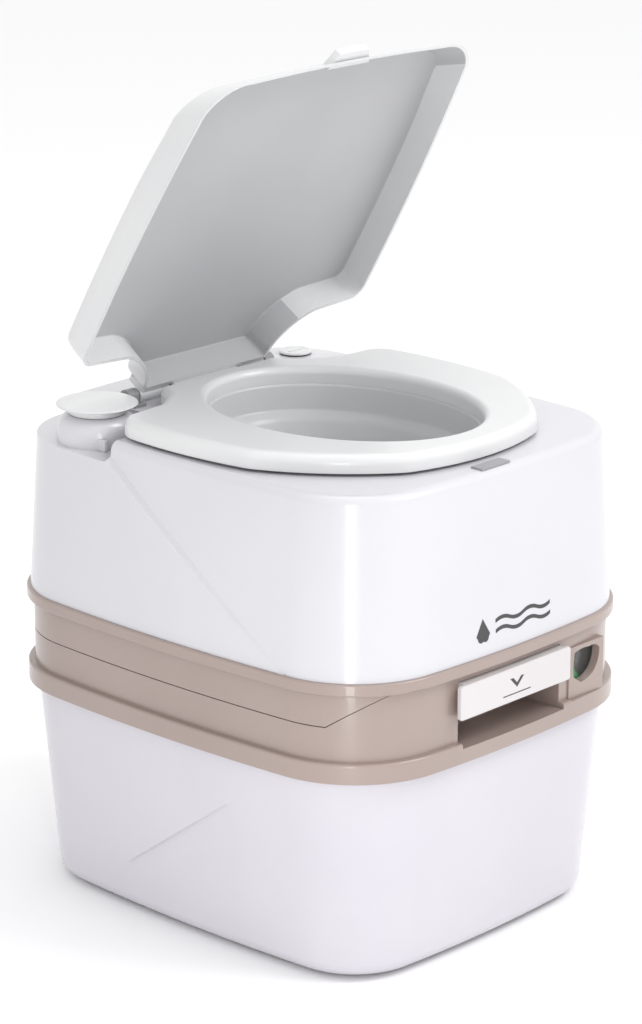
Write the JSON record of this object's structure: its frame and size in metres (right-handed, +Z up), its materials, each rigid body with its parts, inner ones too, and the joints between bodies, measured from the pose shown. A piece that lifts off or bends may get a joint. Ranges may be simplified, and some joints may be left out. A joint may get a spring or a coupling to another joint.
{
  "type": "portable camp toilet",
  "caption": "Portable camp toilet: drafted white fresh-water tank with bowl, hinged seat and lid over a waste tank, with a taupe band, pull-out waste valve, flush pump and level window.",
  "frame": {"origin": "on the floor under the middle of the body, on the plane of its four feet", "axes": "+Z up; the front with the pull handle faces -Y; the flush pump is at the rear on the -X side"},
  "size_m": [0.353, 0.4165, 0.6819],
  "materials": {
    "tank_white": "glossy blow-moulded white",
    "lid_white": "glossy moulded white",
    "bowl_white": "smooth moulded off-white",
    "band_beige": "satin moulded taupe",
    "handle_white": "satin moulded white",
    "dark_plastic": "satin moulded black",
    "grey_plastic": "satin moulded grey",
    "clear": "clear moulded window",
    "signal_green": "bright moulded green",
    "black_rubber": "moulded rubber",
    "steel": "plain steel"
  },
  "bodies": {
    "base": {"lower_tank": "tank_white", "tank_feet": "black_rubber", "lower_collar": "band_beige", "valve_body": "dark_plastic", "valve_seal": "black_rubber", "spout_socket": "dark_plastic", "indicator_bracket": "dark_plastic", "indicator_bezel": "band_beige", "indicator_window": "clear", "vent_housing": "dark_plastic", "vent_spring": "steel"},
    "valve": {"valve_blade": "dark_plastic", "valve_rod": "steel", "pull_handle": "handle_white", "handle_screws": "steel"},
    "indicator": {"indicator_shaft": "steel", "indicator_flag": "signal_green", "float_arm": "dark_plastic", "float": "grey_plastic"},
    "spout": {"pour_spout": "dark_plastic", "spout_seal": "black_rubber"},
    "spout_cap": {"spout_cap": "dark_plastic"},
    "vent": {"vent_button": "dark_plastic"},
    "latch": {"latch_slider": "grey_plastic"},
    "upper": {"upper_tank": "tank_white", "upper_skirt": "band_beige", "bowl": "bowl_white", "bowl_seal": "black_rubber", "hinge_bracket_left": "grey_plastic", "hinge_bracket_right": "grey_plastic", "hinge_screws": "steel", "hinge_pin": "steel", "seat_pad": "grey_plastic", "pump_collar": "tank_white", "pump_barrel": "grey_plastic", "pump_gland": "dark_plastic", "pump_strainer": "dark_plastic", "flush_hose": "black_rubber", "flush_nozzle": "bowl_white", "fill_neck": "tank_white", "latch_keeper": "grey_plastic"},
    "pump": {"pump_knob": "lid_white", "pump_rod": "grey_plastic", "pump_piston": "dark_plastic", "piston_seal": "black_rubber"},
    "seat": {"seat_ring": "lid_white", "seat_bumpers": "black_rubber"},
    "lid": {"lid": "lid_white"},
    "fill_cap": {"fill_cap": "lid_white", "fill_cap_seal": "black_rubber"}
  },
  "joints": [
    {"name": "tank_lift_off", "type": "slide", "parent": "base", "child": "upper", "axis": [0, 0, 1], "range_m": [0, 0.15]},
    {"name": "lid_hinge", "type": "hinge", "parent": "upper", "child": "lid", "pos_m": [0, 0.1318, 0.3936], "axis": [1, 0, 0], "range_deg": [-45, 59.4]},
    {"name": "seat_hinge", "type": "hinge", "parent": "upper", "child": "seat", "pos_m": [0, 0.1318, 0.3936], "axis": [1, 0, 0], "range_deg": [-56, 0]},
    {"name": "pump_stroke", "type": "slide", "parent": "upper", "child": "pump", "axis": [0, 0, 1], "range_m": [0, 0.02]},
    {"name": "fill_cap_turn", "type": "hinge", "parent": "upper", "child": "fill_cap", "pos_m": [0.128, 0.146, 0.385], "axis": [0, 0, 1], "range_deg": [0, 180]},
    {"name": "valve_pull", "type": "slide", "parent": "base", "child": "valve", "axis": [0, -1, 0], "range_m": [0, 0.09]},
    {"name": "level_float", "type": "hinge", "parent": "base", "child": "indicator", "pos_m": [0.088, -0.17, 0.188], "axis": [0, 1, 0], "range_deg": [0, 28]},
    {"name": "spout_swivel", "type": "hinge", "parent": "base", "child": "spout", "pos_m": [-0.1, 0.14, 0.2], "axis": [0, 0, 1], "range_deg": [0, 90]},
    {"name": "spout_cap_turn", "type": "hinge", "parent": "spout", "child": "spout_cap", "pos_m": [0, 0.14, 0.206], "axis": [1, 0, 0], "range_deg": [0, 90]},
    {"name": "vent_press", "type": "slide", "parent": "base", "child": "vent", "axis": [0, -1, 0], "range_m": [0, 0.004], "stiffness_N_per_m": 700, "deforming": ["vent_spring"]},
    {"name": "latch_slide", "type": "slide", "parent": "base", "child": "latch", "axis": [1, 0, 0], "range_m": [0, 0.014]}
  ]
}
